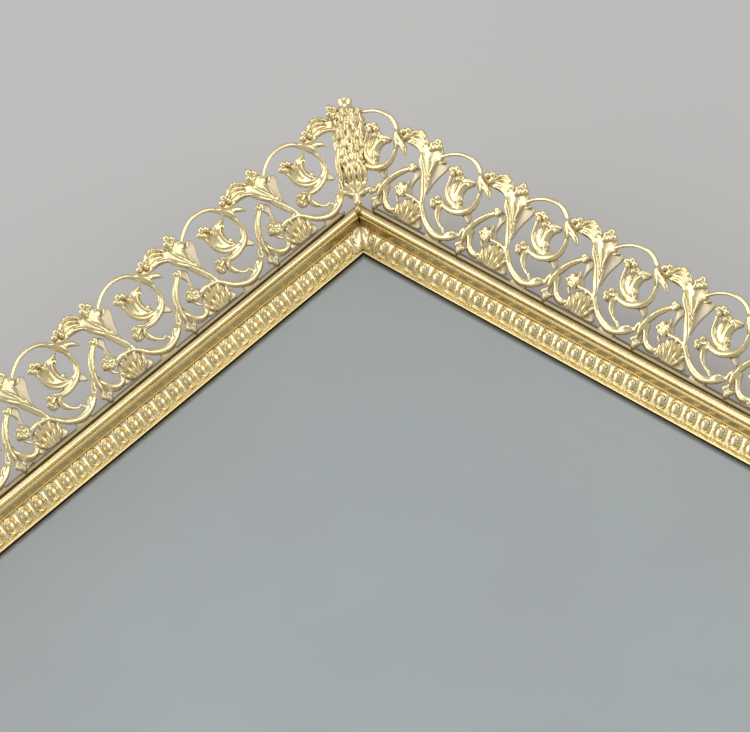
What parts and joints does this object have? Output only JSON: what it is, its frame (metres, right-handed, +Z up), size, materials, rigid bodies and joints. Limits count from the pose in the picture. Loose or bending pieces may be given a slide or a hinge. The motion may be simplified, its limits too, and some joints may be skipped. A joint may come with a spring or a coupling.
{
  "type": "vanity tray",
  "caption": "Rectangular mirrored vanity tray with an egg-and-dart moulding, an outward-leaning pierced scroll gallery and cast corner ornaments.",
  "frame": {"origin": "centre of the underside, on the surface that the tray rests on", "axes": "+Z up, +X along the tray's long side, +Y towards the back rail"},
  "size_m": [0.407, 0.255, 0.0293],
  "materials": {
    "gilt_moulding": "soft-polished antique gilt plating, darker in the recesses",
    "gilt_gallery": "pale gilt plating over a cast scroll gallery, bright on the high spots",
    "gilt_ornament": "pale gilt plating over a cast ornament",
    "fastener_brass": "plain brass",
    "mirror": "silvered plate glass with a ground edge",
    "board": "brown hardboard",
    "card": "grey-brown card",
    "felt": "wine-coloured felt"
  },
  "bodies": {
    "root": {"base_felt": "felt", "base_board": "board", "mirror_liner": "card", "mirror_plate": "mirror", "rail_back": "gilt_moulding", "gallery_back": "gilt_gallery", "gallery_screw_back_1": "fastener_brass", "gallery_screw_back_2": "fastener_brass", "gallery_screw_back_3": "fastener_brass", "gallery_screw_back_4": "fastener_brass", "board_pin_back_1": "fastener_brass", "board_pin_back_2": "fastener_brass", "board_pin_back_3": "fastener_brass", "rail_left": "gilt_moulding", "gallery_left": "gilt_gallery", "gallery_screw_left_1": "fastener_brass", "gallery_screw_left_2": "fastener_brass", "gallery_screw_left_3": "fastener_brass", "board_pin_left_1": "fastener_brass", "board_pin_left_2": "fastener_brass", "rail_front": "gilt_moulding", "gallery_front": "gilt_gallery", "gallery_screw_front_1": "fastener_brass", "gallery_screw_front_2": "fastener_brass", "gallery_screw_front_3": "fastener_brass", "gallery_screw_front_4": "fastener_brass", "board_pin_front_1": "fastener_brass", "board_pin_front_2": "fastener_brass", "board_pin_front_3": "fastener_brass", "rail_right": "gilt_moulding", "gallery_right": "gilt_gallery", "gallery_screw_right_1": "fastener_brass", "gallery_screw_right_2": "fastener_brass", "gallery_screw_right_3": "fastener_brass", "board_pin_right_1": "fastener_brass", "board_pin_right_2": "fastener_brass", "corner_ornament_back_left": "gilt_ornament", "corner_pin_back_left": "fastener_brass", "corner_bracket_back_left": "fastener_brass", "corner_ornament_front_left": "gilt_ornament", "corner_pin_front_left": "fastener_brass", "corner_bracket_front_left": "fastener_brass", "corner_ornament_front_right": "gilt_ornament", "corner_pin_front_right": "fastener_brass", "corner_bracket_front_right": "fastener_brass", "corner_ornament_back_right": "gilt_ornament", "corner_pin_back_right": "fastener_brass", "corner_bracket_back_right": "fastener_brass"}
  },
  "joints": []
}
